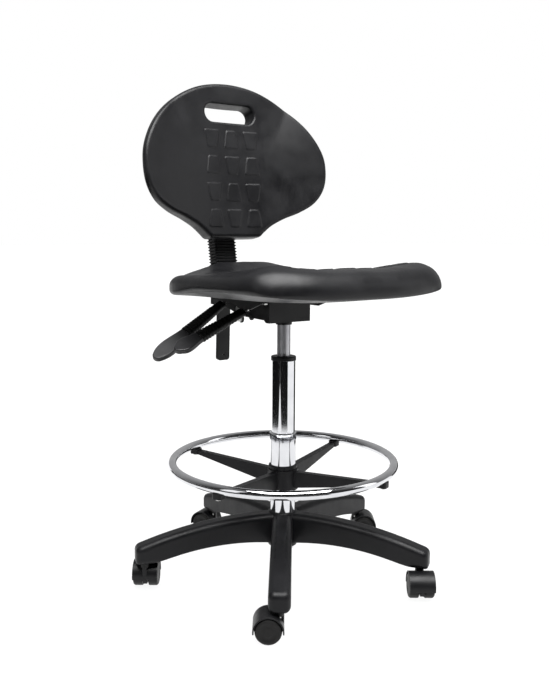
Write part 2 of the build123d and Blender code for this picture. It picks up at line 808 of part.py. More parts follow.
def back_mount_plate():
    """The plate welded to the front of the bar's top."""
    near = bar_thickness / 2
    plate = block(
        (-mount_plate_width / 2, -near - mount_plate_thickness, mount_plate_up - mount_plate_height / 2),
        (mount_plate_width / 2, -near, mount_plate_up + mount_plate_height / 2),
    )
    plate = fillet(plate.edges().filter_by(Axis.Y), 8)
    for x, up in back_bolt_places():
        plate -= forward_disc(4 + slide_gap, near - 1, near + mount_plate_thickness + 1, x, up)
    return bar_frame * plate


def back_bolts():
    """Four bolts from the mount plate into the backrest's insert."""
    near = bar_thickness / 2
    bolts = []
    for x, up in back_bolt_places():
        head = forward_disc(6.5, near - 5, near, x, up)
        bolts.append(head + forward_disc(4, near - 1, back_insert_near(), x, up))
    return bar_frame * Compound(bolts)


def back_insert_near():
    """How far forward of the bar the backrest's steel insert lies."""
    return back_face - back_middle_thickness + 16


def back_insert():
    """The steel plate moulded into the backrest."""
    near = back_insert_near()
    insert = block((-60, -near - 4, mount_plate_up - 75), (60, -near, mount_plate_up + 65))
    return bar_frame * fillet(insert.edges().filter_by(Axis.Y), 12)


def back_outline():
    """The backrest's outline: a wide oval with shoulders that draw in to a narrow foot."""
    wide = back_half_width
    height = back_top - back_bottom
    right = [
        (0, back_top),
        (wide * 0.43, back_bottom + height * 0.935),
        (wide * 0.78, back_bottom + height * 0.765),
        (wide * 0.985, back_bottom + height * 0.52),
        (wide * 0.955, back_bottom + height * 0.29),
        (wide * 0.72, back_bottom + height * 0.175),
        (wide * 0.44, back_bottom + height * 0.09),
        (wide * 0.32, back_bottom + height * 0.005),
    ]
    right_curve = Spline(*right, tangents=[(1, 0), (-0.7, -0.72)])
    left_curve = mirror(right_curve, Plane.YZ)
    foot = Line(right[-1], (-right[-1][0], right[-1][1]))
    return make_face(Curve() + [right_curve, foot, left_curve])


def backrest_pad():
    """The moulded backrest: the outline given a curved thickness, a handle slot and a back boss."""
    blank = extrude(Plane.XZ * back_outline(), 200, both=True)
    edge = back_half_width + 10
    growth = (edge / back_half_width) ** 2
    front_edge = -back_face - back_wing * growth
    back_middle = back_middle_thickness - back_face
    back_edge = front_edge + back_edge_thickness
    front_curve = ThreePointArc((-edge, front_edge), (0, -back_face), (edge, front_edge))
    back_curve = ThreePointArc((edge, back_edge), (0, back_middle), (-edge, back_edge))
    band = [
        front_curve,
        Line((edge, front_edge), (edge, back_edge)),
        back_curve,
        Line((-edge, back_edge), (-edge, front_edge)),
    ]
    band = extrude(make_face(Curve() + band), back_top + 10)
    pad = blank & band
    slot = Plane.XZ * Pos(0, slot_height_up, 0) * SlotOverall(slot_width, slot_height)
    pad -= extrude(slot, 200, both=True)
    near = bar_thickness / 2 + mount_plate_thickness
    boss = block((-52, back_middle - 6, mount_plate_up - 62), (52, -near, mount_plate_up + 62))
    pad += fillet(boss.edges().filter_by(Axis.Y), 12)
    insert_room = block(
        (-60 - press_gap, -back_insert_near() - 4 - press_gap, mount_plate_up - 75 - press_gap),
        (60 + press_gap, -back_insert_near(), mount_plate_up + 65 + press_gap),
    )
    pad -= insert_room
    for x, up in back_bolt_places():
        pad -= forward_disc(4 + slide_gap, near - 1, back_insert_near() + 1, x, up)
    return bar_frame * pad


def bellows_cover():
    """The pleated cover round the bar, between its socket and the backrest's boss."""
    bottom = -4
    top = mount_plate_up - 62 - soft_gap
    tube = extrude(Pos(0, 0, bottom) * RectangleRounded(bellows_width, bellows_depth, 5), top - bottom)
    tube -= extrude(
        Pos(0, 0, bottom - 1)
        * Rectangle(bellows_width - 2 * bellows_wall, bellows_depth - 2 * bellows_wall),
        top - bottom + 2,
    )
    return bar_frame * tube


# ---- Seat ---------------------------------------------------------------

def seat_plan(shrink):
    """The seat's plan: a rounded square, wider in front."""
    half = seat_width / 2 - shrink
    front = seat_middle_y - seat_depth / 2 + shrink
    back = seat_middle_y + seat_depth / 2 - shrink
    right = [
        (0, back),
        (half * 0.62, back - 7),
        (half * 0.92, back - 64),
        (half * 0.985, seat_middle_y + 20),
        (half * 0.975, front + 110),
        (half * 0.84, front + 30),
        (half * 0.5, front + 4),
        (0, front),
    ]
    left = [(-x, y) for x, y in reversed(right[1:-1])]
    return make_face(Spline(*(right + left), periodic=True))


def seat_pad():
    """The moulded seat: dished across its middle, falling away at its front."""
    front = seat_middle_y - seat_depth / 2 - 5
    back = seat_middle_y + seat_depth / 2 + 5
    crest = seat_front_z + 2
    side = [
        Line((back, seat_rim_bottom_z + 6), (back, seat_back_z - 12)),
        Spline(
            (back, seat_back_z - 12),
            (back - 30, seat_back_z),
            (seat_middle_y + 100, seat_dish_z),
            (seat_middle_y - 60, seat_dish_z + 6),
            (front + 90, crest),
            (front + 30, seat_front_z - 8),
            (front, seat_front_z - 36),
        ),
        Line((front, seat_front_z - 36), (front + 12, seat_rim_bottom_z + 4)),
        Line((front + 12, seat_rim_bottom_z + 4), (back - 10, seat_rim_bottom_z - 4)),
        Line((back - 10, seat_rim_bottom_z - 4), (back, seat_rim_bottom_z + 6)),
    ]
    body = extrude(Plane.YZ * make_face(Curve() + side), seat_width, both=True)
    body = body & extrude(Pos(0, 0, seat_rim_bottom_z - 10) * seat_plan(0), 100)
    belly = block(
        (-belly_width / 2, seat_middle_y - belly_depth / 2 + 50, plate_top_z),
        (belly_width / 2, seat_middle_y + belly_depth / 2 + 50, seat_rim_bottom_z + 12),
    )
    pad = body + fillet(belly.edges().filter_by(Axis.Z), 60)
    board_z = seat_rim_bottom_z + 14
    pad -= seat_board_shape(press_gap)
    for x, y in bolt_places():
        pad -= disc(4 + slide_gap, plate_top_z - 1, board_z, x, y)
    return pad


def seat_board_shape(room):
    """The board's block, enlarged by a little room all round."""
    middle_y = (plate_front_y + plate_back_y) / 2 - 15
    half_x = board_width / 2 + room
    half_y = board_depth / 2 + room
    low_z = seat_rim_bottom_z + 14
    low = (-half_x, middle_y - half_y, low_z - room)
    shape = block(low, (half_x, middle_y + half_y, low_z + board_thickness))
    return fillet(shape.edges().filter_by(Axis.Z), 30)


def seat_board():
    """The board moulded into the seat, which the bolts hold."""
    board = seat_board_shape(0)
    for x, y in bolt_places():
        board -= disc(4 + press_gap, seat_rim_bottom_z, seat_rim_bottom_z + 17, x, y)
    return board


# ---- Assembly -----------------------------------------------------------

def build():
    """Every piece of the chair, by name."""
    pieces = {
        "star_base": star_base(),
        "column_sleeve": column_sleeve(),
        "sleeve_collar": sleeve_collar(),
        "lift_outer_tube": lift_outer_tube(),
        "lift_top_cap": lift_top_cap(),
        "guide_bushing": guide_bushing(),
        "retaining_clip": retaining_clip(),
        "thrust_bearing": thrust_bearing(),
        "bump_stop": bump_stop(),
        "piston_rod": piston_rod(),
        "piston_head": piston_head(),
        "gas_cylinder": gas_cylinder(),
        "release_button": release_button(),
        "foot_ring": foot_ring(),
        "ring_hub": ring_hub(),
        "ring_screws": ring_screws(),
        "ring_lock_collar": ring_lock_collar(),
        "mechanism_housing": mechanism_housing(),
        "seat_plate": seat_plate(),
        "seat_bolts": seat_bolts(),
        "tilt_axle": tilt_axle(),
        "stop_bolt": stop_bolt(),
        "lever_pins": lever_pins(),
        "height_lever_rod": height_lever_rod(),
        "height_lever_grip": lever_grip(height_lever),
        "height_lever_paddle": lever_paddle(height_lever),
        "tilt_lever_rod": tilt_lever_rod(),
        "tilt_lever_grip": lever_grip(tilt_lever),
        "tilt_lever_paddle": lever_paddle(tilt_lever),
        "back_carrier": back_carrier(),
        "back_knob": back_knob(),
        "back_bar": back_bar(),
        "back_mount_plate": back_mount_plate(),
        "back_bolts": back_bolts(),
        "back_insert": back_insert(),
        "backrest_pad": backrest_pad(),
        "bellows_cover": bellows_cover(),
        "seat_pad": seat_pad(),
        "seat_board": seat_board(),
    }
    for k in range(arm_count):
        number = k + 1
        pieces[f"caster_hood_{number}"] = place_caster(caster_hood(), k)
        pieces[f"caster_pins_{number}"] = place_caster(caster_pins(), k)
        pieces[f"caster_wheel_{number}a"] = place_caster(caster_wheel(1), k)
        pieces[f"caster_wheel_{number}b"] = place_caster(caster_wheel(-1), k)
    return pieces


os.makedirs("parts", exist_ok=True)
for name, shape in build().items():
    export_step(shape, f"parts/{name}.step")
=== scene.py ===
import json
import math

import bpy
import numpy as np
from mathutils import Matrix, Vector


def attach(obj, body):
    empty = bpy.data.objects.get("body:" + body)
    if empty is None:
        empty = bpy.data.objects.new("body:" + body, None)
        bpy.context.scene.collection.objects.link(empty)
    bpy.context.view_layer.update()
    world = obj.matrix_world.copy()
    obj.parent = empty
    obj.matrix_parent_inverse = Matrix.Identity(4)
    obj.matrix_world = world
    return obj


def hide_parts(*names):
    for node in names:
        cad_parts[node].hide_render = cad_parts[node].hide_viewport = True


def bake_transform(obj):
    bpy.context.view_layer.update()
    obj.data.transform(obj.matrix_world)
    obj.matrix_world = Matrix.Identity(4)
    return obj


# Drafting chair: moulded foam seat and backrest, pleated bar cover, materials, light and camera.
# Metres, in the row frame: +Z up, the sitter faces -Y and +X is the sitter's left.

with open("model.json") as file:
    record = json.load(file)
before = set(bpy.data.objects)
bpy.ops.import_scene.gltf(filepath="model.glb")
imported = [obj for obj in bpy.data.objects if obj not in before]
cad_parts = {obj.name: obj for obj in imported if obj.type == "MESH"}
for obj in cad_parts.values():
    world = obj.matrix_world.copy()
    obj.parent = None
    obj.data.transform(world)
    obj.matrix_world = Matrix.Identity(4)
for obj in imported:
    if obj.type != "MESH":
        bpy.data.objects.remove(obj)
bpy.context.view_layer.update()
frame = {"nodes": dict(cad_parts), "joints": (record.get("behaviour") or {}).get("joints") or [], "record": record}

# ---- Sizes --------------------------------------------------------------

# The back's bar: its bend stands behind the tilt axis, and above it the bar leans back.
TILT_AXIS = next(Vector(joint["pos_m"]) for joint in frame["joints"] if joint["name"] == "back_angle")
UPRIGHT_LEAN = math.radians(2.5)
BAR_BEND = Vector((0, 0.152, 0.069))
BAR_LEAN = math.radians(-12.5)

BACK_HALF_WIDTH = 0.234
BACK_SET_FROM = 0.200
BACK_SET_SLOPE = 0.08
SLOT_UP = 0.339
SLOT_HALF_LENGTH = 0.063
SLOT_HALF_HEIGHT = 0.020

BELLOWS_HALF_WIDTH = 0.0298
BELLOWS_HALF_DEPTH = 0.0188
BELLOWS_BOTTOM = -0.004
BELLOWS_TOP = 0.1625
PLEAT_PITCH = 0.0069
PLEAT_DEPTH = 0.0034

SEAT_CENTRE = np.array((0.0, -0.057))
SEAT_PLATE_TOP = 0.6005

# A raised pad is a trapezoid: these are its half height and its ends' half widths.
PAD_HALF_HEIGHT = 0.019
PAD_WIDE = 0.019
PAD_NARROW = 0.012

# From the chair towards the camera, and to the camera's right.
HEADING = math.radians(34.5)
TO_CAMERA = Vector((-math.sin(HEADING), -math.cos(HEADING), 0))
TO_RIGHT = Vector((math.cos(HEADING), -math.sin(HEADING), 0))


# ---- Mesh helpers -------------------------------------------------------

def bar_matrix():
    """From the bar's own axes (across, back, up from its bend) to the row frame."""
    upright = Matrix.Translation(TILT_AXIS) @ Matrix.Rotation(UPRIGHT_LEAN, 4, "X")
    return upright @ Matrix.Translation(BAR_BEND) @ Matrix.Rotation(BAR_LEAN, 4, "X")


def smoothstep(value, low, high):
    """0 below low, 1 above high, and a smooth ramp between."""
    t = np.clip((value - low) / (high - low), 0, 1)
    return t * t * (3 - 2 * t)


def closed_curve(points, count):
    """A smooth closed curve through a few points, as evenly spaced samples."""
    fine = 40
    p = np.array(points, float)
    before, after, later = np.roll(p, 1, 0), np.roll(p, -1, 0), np.roll(p, -2, 0)
    t = np.linspace(0, 1, fine, endpoint=False)[:, None, None]
    run = 0.5 * (
        2 * p
        + (after - before) * t
        + (2 * before - 5 * p + 4 * after - later) * t ** 2
        + (3 * p - before - 3 * after + later) * t ** 3
    )
    return evenly(run.transpose(1, 0, 2).reshape(-1, 2), count)


def evenly(loop, count):
    """The same closed loop with evenly spaced points."""
    closed = np.vstack([loop, loop[:1]])
    steps = np.linalg.norm(np.diff(closed, axis=0), axis=1)
    along = np.concatenate([[0], np.cumsum(steps)])
    places = np.linspace(0, along[-1], count, endpoint=False)
    return np.stack([np.interp(places, along, closed[:, k]) for k in range(2)], 1)


def by_angle(loop, centre, angles):
    """Where rays from a centre at these angles cross a closed loop around it."""
    away = loop - centre
    turn = np.unwrap(np.arctan2(away[:, 1], away[:, 0]))
    order = np.argsort(turn)
    turn, radius = turn[order], np.linalg.norm(away, axis=1)[order]
    reach = np.interp(angles, turn, radius, period=2 * math.pi)
    return centre + reach[:, None] * np.stack([np.cos(angles), np.sin(angles)], 1)


def outward(loop):
    """The outward unit normals of a loop that runs anticlockwise."""
    run = np.roll(loop, -2, 0) - np.roll(loop, 2, 0)
    normal = np.stack([run[:, 1], -run[:, 0]], 1)
    return normal / np.linalg.norm(normal, axis=1)[:, None]


def mirrored(right):
    """A closed outline from its right half, which starts and ends on the middle line."""
    left = [(-x, y) for x, y in reversed(right[1:-1])]
    return [*right, *left]


def thin_plate(points):
    """A smooth height surface through a few given heights, mirrored left to right."""
    known = np.array(points + [(-x, y, z) for x, y, z in points if x > 0])
    count = len(known)

    def bend(x, y):
        square = (x[:, None] - known[:, 0]) ** 2 + (y[:, None] - known[:, 1]) ** 2
        return square * np.log(square + 1e-12)

    flat = np.stack([np.ones(count), known[:, 0], known[:, 1]], 1)
    system = np.block([[bend(known[:, 0], known[:, 1]), flat], [flat.T, np.zeros((3, 3))]])
    weights = np.linalg.solve(system, np.concatenate([known[:, 2], np.zeros(3)]))

    def height(x, y):
        level = np.stack([np.ones(len(x)), x, y], 1)
        return bend(x, y) @ weights[:count] + level @ weights[count:]

    return height


def over_edge(loop, normal, high, low, high_radius, low_radius, steps):
    """Loops that run from the high surface round the edge to the low one.

    Each radius is one number or one for each point of the loop.
    """
    high_radius = np.broadcast_to(high_radius, len(loop))
    low_radius = np.broadcast_to(low_radius, len(loop))
    rows = []
    quarter = np.linspace(0, math.pi / 2, steps)
    for angle in quarter:
        place = loop - normal * (high_radius * (1 - math.sin(angle)))[:, None]
        rows.append((place, high(*place.T) - high_radius * (1 - math.cos(angle))))
    start, end = rows[-1][1], low(*loop.T) + low_radius
    for share in (0.33, 0.67):
        rows.append((loop, start + (end - start) * share))
    for angle in quarter[::-1]:
        place = loop - normal * (low_radius * (1 - math.sin(angle)))[:, None]
        rows.append((place, low(*place.T) + low_radius * (1 - math.cos(angle))))
    return rows


def between(inner, outer, surface, shares):
    """Loops on a surface, spread between two loops in its plane."""
    rows = []
    for share in shares:
        place = inner + (outer - inner) * share
        rows.append((place, surface(*place.T)))
    return rows


def join_loops(name, rows, matrix, ring=False):
    """A mesh through loops of (plane points, height): capped at both ends, or a ring."""
    around = len(rows[0][1])
    points = np.concatenate([np.column_stack([place, height]) for place, height in rows])
    spot = np.arange(around)
    beside = np.roll(spot, -1)
    pairs = [(k, k + 1) for k in range(len(rows) - 1)]
    if ring:
        pairs.append((len(rows) - 1, 0))
    faces = []
    for a, b in pairs:
        near, far = a * around, b * around
        faces += np.stack([spot + near, spot + far, beside + far, beside + near], 1).tolist()
    if not ring:
        for row, turned in ((0, False), (len(rows) - 1, True)):
            middle = len(points)
            points = np.vstack([points, points[row * around:(row + 1) * around].mean(0)])
            for k in range(around):
                corner = [middle, spot[k] + row * around, beside[k] + row * around]
                faces.append(corner[::-1] if turned else corner)
    mesh = bpy.data.meshes.new(name)
    mesh.from_pydata(points.tolist(), [], faces)
    mesh.transform(matrix)
    mesh.shade_smooth()
    mesh.update()
    piece = bpy.data.objects.new(name, mesh)
    bpy.context.scene.collection.objects.link(piece)
    return piece


def trapezoid(x, y, centre, half_height, bottom, top, slope):
    """1 inside a trapezoid and 0 outside, with soft corners and sides as wide as the slope."""
    across, up = np.abs(x - centre[0]), y - centre[1]
    half = bottom + (top - bottom) * (up + half_height) / (2 * half_height)
    room = np.stack([half - across, half_height - up, half_height + up])
    softness = 0.0016
    inside = -softness * np.log(np.exp(-np.clip(room, -0.02, 0.06) / softness).sum(0))
    return smoothstep(inside, -slope / 2, slope / 2)


def raised_pads(x, y, half_count, pitch, rows, slope):
    """Pads in rows across a face, wide and narrow ends turned by turns, as heights from 0 to 1."""
    relief = np.zeros(len(x))
    for row, along in enumerate(rows):
        for column in range(-half_count, half_count + 1):
            wide_low = (row + column) % 2 == 0
            ends = (PAD_WIDE, PAD_NARROW) if wide_low else (PAD_NARROW, PAD_WIDE)
            relief += trapezoid(x, y, (column * pitch, along), PAD_HALF_HEIGHT, *ends, slope)
    return relief


# ---- Seat ---------------------------------------------------------------

def seat_outline():
    """The seat's plan: nearly square, with large corners and a slightly bowed front."""
    right = [
        (0, 0.1705), (0.085, 0.169), (0.150, 0.158), (0.200, 0.123), (0.224, 0.070),
        (0.232, -0.010), (0.2345, -0.100), (0.232, -0.180), (0.214, -0.238), (0.165, -0.270),
        (0.090, -0.283), (0, -0.285),
    ]
    return mirrored(right)


def seat_top():
    """Heights of the seat's upper face: dished, with raised front wings and a raised back lip."""
    return thin_plate([
        (0, -0.290, 0.654), (0, -0.255, 0.666), (0, -0.215, 0.669), (0, -0.150, 0.661),
        (0, -0.080, 0.653), (0, 0.000, 0.649), (0, 0.080, 0.653), (0, 0.135, 0.665),
        (0, 0.160, 0.671), (0, 0.175, 0.671),
        (0.060, 0.160, 0.669), (0.115, 0.160, 0.656), (0.150, 0.150, 0.648), (0.190, 0.130, 0.640),
        (0.100, -0.288, 0.654), (0.100, -0.245, 0.669), (0.100, -0.190, 0.667), (0.100, -0.120, 0.656),
        (0.100, 0.030, 0.650), (0.145, -0.195, 0.674), (0.182, -0.212, 0.676), (0.180, -0.130, 0.667),
        (0.180, -0.050, 0.658), (0.175, 0.040, 0.651), (0.232, -0.180, 0.655), (0.237, -0.100, 0.653),
        (0.237, -0.020, 0.651), (0.230, 0.070, 0.648), (0.212, -0.245, 0.656), (0.170, -0.275, 0.657),
        (0.130, 0.090, 0.653),
    ])


def seat_underside():
    """Heights of the seat's underside: a rim that sinks rearward and a flat belly on the plate."""
    rim = thin_plate([
        (0, -0.285, 0.616), (0.170, -0.270, 0.622), (0.225, -0.200, 0.627), (0.235, -0.120, 0.628),
        (0.235, -0.030, 0.624), (0.232, 0.070, 0.611), (0.150, 0.160, 0.609), (0, 0.170, 0.611),
        (0.130, -0.100, 0.606), (0.130, 0.080, 0.603), (0, -0.100, 0.597), (0, 0.020, 0.596),
        (0.080, 0.050, 0.597),
    ])
    softness = 0.0008

    def height(x, y):
        return SEAT_PLATE_TOP + softness * np.logaddexp(0, (rim(x, y) - SEAT_PLATE_TOP) / softness)

    return height


def seat_pads(x, y):
    """The seat's pads: five rows of seven."""
    rows = [-0.190 + 0.056 * row for row in range(5)]
    return raised_pads(x, y, 3, 0.047, rows, slope=0.004)


def build_seat():
    """The moulded seat."""
    around, top_rings, bottom_rings, pad_height = 720, 170, 60, 0.0017
    side_radius, front_more, straight = 0.017, 0.011, 0.0015
    shape, bottom = seat_top(), seat_underside()

    def top(x, y):
        return shape(x, y) + pad_height * seat_pads(x, y)

    loop = closed_curve(seat_outline(), around)[::-1]
    normal = outward(loop)
    front = smoothstep(-normal[:, 1], 0.2, 0.9)
    top_radius = side_radius + front_more * front
    side_height = top(*loop.T) - bottom(*loop.T)
    bottom_radius = np.clip(side_height - top_radius - straight, 0.004, 0.010)
    edge = over_edge(loop, normal, top, bottom, top_radius, bottom_radius, 12)
    middle = np.tile(SEAT_CENTRE, (around, 1))
    rows = between(middle, edge[0][0], top, np.linspace(0.01, 1, top_rings)[:-1])
    rows += edge
    rows += between(edge[-1][0], middle, bottom, np.linspace(0, 0.98, bottom_rings)[1:])
    return join_loops("seat_foam", rows, Matrix.Identity(4))


# ---- Backrest -----------------------------------------------------------

def back_outline():
    """The backrest's outline: a wide oval whose shoulders draw in to a narrow foot."""
    right = [
        (0, 0.404), (0.060, 0.397), (0.112, 0.377), (0.160, 0.345), (0.200, 0.303), (0.227, 0.254),
        (0.2335, 0.212), (0.227, 0.172), (0.205, 0.141), (0.170, 0.121), (0.130, 0.107), (0.098, 0.092),
        (0.077, 0.0765), (0.066, 0.0675), (0.054, 0.066), (0, 0.066),
    ]
    return mirrored(right)


def back_set(t):
    """How far the backrest leans forward of the bar's own lean at this height."""
    return BACK_SET_SLOPE * (t - BACK_SET_FROM)


def back_front(u, t):
    """How far the front face stands forward of the bar: a shallow hollow with folded wings."""
    middle, wing = 0.076, 0.045
    across = np.abs(u)
    share = (across / BACK_HALF_WIDTH) ** 2
    heights = (0.200, 0.246, 0.287, 0.322, 0.356, 0.400)
    fold = np.interp(t, heights, (0.070, 0.090, 0.116, 0.132, 0.146, 0.164))
    softness = 0.003 + 0.040 * (1 - smoothstep(t, 0.200, 0.330))
    past = softness * np.logaddexp(0, (across - fold) / softness)
    strength = np.interp(t, (0.180, 0.200, 0.250, 0.356), (0, 0.04, 0.10, 0.25))
    folded = wing * share + strength * (past - share * (BACK_HALF_WIDTH - fold))
    return middle + folded + back_set(t)


def back_pads(u, t):
    """The backrest's pads: four rows of three."""
    return raised_pads(u, t, 1, 0.050, (0.281, 0.224, 0.165, 0.1075), slope=0.003)


def back_rear(u, t):
    """How far the rear face stands forward of the bar: it follows the front, with a boss on the bar."""
    middle, wing = 0.030, 0.066
    boss_stand, boss_half_width, boss_half_height, boss_up = 0.0096, 0.052, 0.062, 0.225
    shell = middle + wing * (np.abs(u) / BACK_HALF_WIDTH) ** 2 + back_set(t)
    outside = np.maximum(np.abs(u) - boss_half_width, np.abs(t - boss_up) - boss_half_height)
    boss = 1 - smoothstep(outside, -0.007, 0.001)
    return shell + (boss_stand - shell) * boss


def slot_loop(angles, centre):
    """The handle slot's rounded outline."""
    straight = SLOT_HALF_LENGTH - SLOT_HALF_HEIGHT
    turn = np.linspace(-math.pi / 2, math.pi / 2, 60)
    right = np.stack([straight + SLOT_HALF_HEIGHT * np.cos(turn), SLOT_HALF_HEIGHT * np.sin(turn)], 1)
    return evenly(np.vstack([right, -right]) + centre, len(angles))


def build_back():
    """The moulded backrest, with its handle slot and pads."""
    around, front_rings, rear_rings, pad_height = 720, 170, 90, 0.0016

    def front(u, t):
        return back_front(u, t) + pad_height * back_pads(u, t)

    centre = np.array((0.0, SLOT_UP))
    angles = np.linspace(-math.pi, math.pi, around, endpoint=False)
    hole = by_angle(slot_loop(angles, centre), centre, angles)
    outline = by_angle(closed_curve(back_outline(), 2000), centre, angles)
    outer = over_edge(outline, outward(outline), front, back_rear, 0.009, 0.012, 10)
    inner = over_edge(hole, -outward(hole), front, back_rear, 0.006, 0.006, 8)[::-1]
    rows = between(inner[-1][0], outer[0][0], front, np.linspace(0, 1, front_rings)[1:-1])
    rows += outer
    rows += between(outer[-1][0], inner[0][0], back_rear, np.linspace(0, 1, rear_rings)[1:-1])
    rows += inner
    forward = Matrix(((1, 0, 0, 0), (0, 0, -1, 0), (0, 1, 0, 0), (0, 0, 0, 1)))
    return join_loops("backrest_foam", rows, bar_matrix() @ forward, ring=True)


# ---- Bellows ------------------------------------------------------------

def rounded_box(half_width, half_depth, corner, count):
    """A rounded rectangle, as evenly spaced points."""
    loop = []
    for k, (sx, sy) in enumerate(((1, 1), (-1, 1), (-1, -1), (1, -1))):
        turn = np.linspace(0, math.pi / 2, 8) + k * math.pi / 2
        middle = np.array((sx * (half_width - corner), sy * (half_depth - corner)))
        loop.append(middle + corner * np.stack([np.cos(turn), np.sin(turn)], 1))
    return evenly(np.vstack(loop), count)


def build_bellows():
    """The pleated rubber cover round the bar: out along its pleats and back inside them."""
    around, corner, wall = 96, 0.006, 0.0016
    rows = []
    count = round((BELLOWS_TOP - BELLOWS_BOTTOM) / PLEAT_PITCH)
    pitch = (BELLOWS_TOP - BELLOWS_BOTTOM) / count
    outer = rounded_box(BELLOWS_HALF_WIDTH, BELLOWS_HALF_DEPTH, corner, around)
    normal = outward(outer)
    # One pleat: shares of the pitch, and how deep it is there.
    pleat = (
        (0.0, 1.0), (0.16, 0.92), (0.34, 0.30), (0.44, 0.02),
        (0.56, 0.02), (0.66, 0.30), (0.84, 0.92),
    )
    profile = [
        (BELLOWS_BOTTOM + (k + share) * pitch, depth * PLEAT_DEPTH)
        for k in range(count)
        for share, depth in pleat
    ]
    for up, depth in profile:
        rows.append((outer - normal * depth, np.full(around, up)))
    for up, depth in reversed(profile):
        rows.append((outer - normal * (depth + wall), np.full(around, up)))
    return join_loops("bar_bellows", rows, bar_matrix(), ring=True)


# ---- Material nodes -----------------------------------------------------

def shader_of(name, values):
    """A new material, its tree and its shader, with what is constant set on the shader itself."""
    material = bpy.data.materials.new(name)
    material.use_nodes = True
    tree = material.node_tree
    shader = tree.nodes["Principled BSDF"]
    for socket, value in values.items():
        shader.inputs[socket].default_value = value
    return material, tree, shader


def node(tree, kind, inputs, **settings):
    """A shader node: what it reads is a number, a colour or another node's socket."""
    made = tree.nodes.new("ShaderNode" + kind)
    for key, value in settings.items():
        setattr(made, key, value)
    for socket, value in inputs.items():
        if isinstance(value, bpy.types.NodeSocket):
            tree.links.new(value, made.inputs[socket])
        else:
            made.inputs[socket].default_value = value
    return made


def place(tree, stretch=(1, 1, 1)):
    """The piece's own coordinates, in metres, stretched along the row's axes."""
    here = node(tree, "TexCoord", {}).outputs["Object"]
    return node(tree, "Mapping", {"Vector": here, "Scale": stretch}).outputs["Vector"]


def cloud(tree, where, size, detail=3.0):
    """Soft random patches of about this size, in metres."""
    inputs = {"Vector": where, "Scale": 1 / size, "Detail": detail}
    return node(tree, "TexNoise", inputs).outputs["Fac"]


def grain(tree, where, size):
    """Pebbles of about this size, in metres."""
    inputs = {"Vector": where, "Scale": 1 / size}
    return node(tree, "TexVoronoi", inputs, feature="SMOOTH_F1").outputs["Distance"]


def spread(tree, value, low, high, start=0.3, end=0.7):
    """A value from low to high as the pattern goes from start to end."""
    inputs = {"Value": value, "From Min": start, "From Max": end, "To Min": low, "To Max": high}
    return node(tree, "MapRange", inputs).outputs["Result"]


def tones(tree, value, dark, light, start=0.3, end=0.7):
    """A colour between two tones that follows a pattern."""
    ramp = node(tree, "ValToRGB", {"Fac": value})
    for element, spot, tone in zip(ramp.color_ramp.elements, (start, end), (dark, light)):
        element.position = spot
        element.color = (*tone, 1)
    return ramp.outputs["Color"]


def bumps(tree, height, depth, strength=1.0, under=None):
    """A relief of this depth, in metres, on top of another relief or on rounded edges."""
    inputs = {"Height": height, "Distance": depth, "Strength": strength}
    if under is not None:
        inputs["Normal"] = under
    return node(tree, "Bump", inputs).outputs["Normal"]


def soft_edges(tree, radius):
    """Normals that turn over each sharp edge, as a moulded or tumbled part's do."""
    return node(tree, "Bevel", {"Radius": radius}, samples=6).outputs["Normal"]


def link(tree, shader, **sockets):
    """Join sockets to the shader, named with underscores for spaces."""
    for name, socket in sockets.items():
        tree.links.new(socket, shader.inputs[name.replace("_", " ")])


# ---- Materials ----------------------------------------------------------

def moulded(name, dark, light, gloss, pebble, edge, texture, specular):
    """Moulded plastic or foam skin: fine pebble, cloudy tone and gloss, faint rubs.

    Pebble is the pebbles' size, texture their depth and edge the radius of sharp edges, in metres.
    """
    material, tree, shader = shader_of(name, {"Specular IOR Level": specular})
    where = place(tree)
    patches = cloud(tree, where, 0.045)
    rubs = cloud(tree, place(tree, (1, 1, 0.25)), 0.006, 6.0)
    fine = grain(tree, where, pebble)
    gloss_here, rub_here = spread(tree, patches, *gloss), spread(tree, rubs, -0.03, 0.05)
    rough = node(tree, "Math", {0: gloss_here, 1: rub_here}, operation="ADD")
    rounded = soft_edges(tree, edge) if edge else None
    wavy = bumps(tree, patches, 0.0004, strength=0.25, under=rounded)
    link(
        tree, shader,
        Base_Color=tones(tree, patches, dark, light),
        Roughness=rough.outputs[0],
        Normal=bumps(tree, fine, texture, under=wavy),
    )
    return material


def chrome(name):
    """Bright plating with faint smudges."""
    material, tree, shader = shader_of(name, {"Metallic": 1.0})
    smudge = cloud(tree, place(tree), 0.03, 5.0)
    link(
        tree, shader,
        Base_Color=tones(tree, smudge, (0.66, 0.665, 0.69), (0.76, 0.765, 0.785)),
        Roughness=spread(tree, smudge, 0.045, 0.10),
        Normal=soft_edges(tree, 0.0005),
    )
    return material


def turned_steel(name, dark, light, gloss, lines=0.0004):
    """Ground or turned steel: fine lines round the piece and a cloudy tone."""
    material, tree, shader = shader_of(name, {"Metallic": 1.0})
    where = place(tree)
    patches = cloud(tree, where, 0.02, 4.0)
    rings = cloud(tree, place(tree, (0.05, 0.05, 1)), lines, 2.0)
    link(
        tree, shader,
        Base_Color=tones(tree, patches, dark, light),
        Roughness=spread(tree, rings, *gloss),
        Normal=bumps(tree, rings, 0.00002, 0.5, soft_edges(tree, 0.0004)),
    )
    return material


def powder_coat(name, dark, light):
    """Baked powder paint on pressed steel: orange peel and a few dull patches."""
    material, tree, shader = shader_of(name, {"Specular IOR Level": 0.3})
    where = place(tree)
    peel = cloud(tree, where, 0.0016, 2.0)
    patches = cloud(tree, where, 0.03)
    link(
        tree, shader,
        Base_Color=tones(tree, patches, dark, light),
        Roughness=spread(tree, patches, 0.34, 0.50),
        Normal=bumps(tree, peel, 0.00012, 0.8, soft_edges(tree, 0.0008)),
    )
    return material


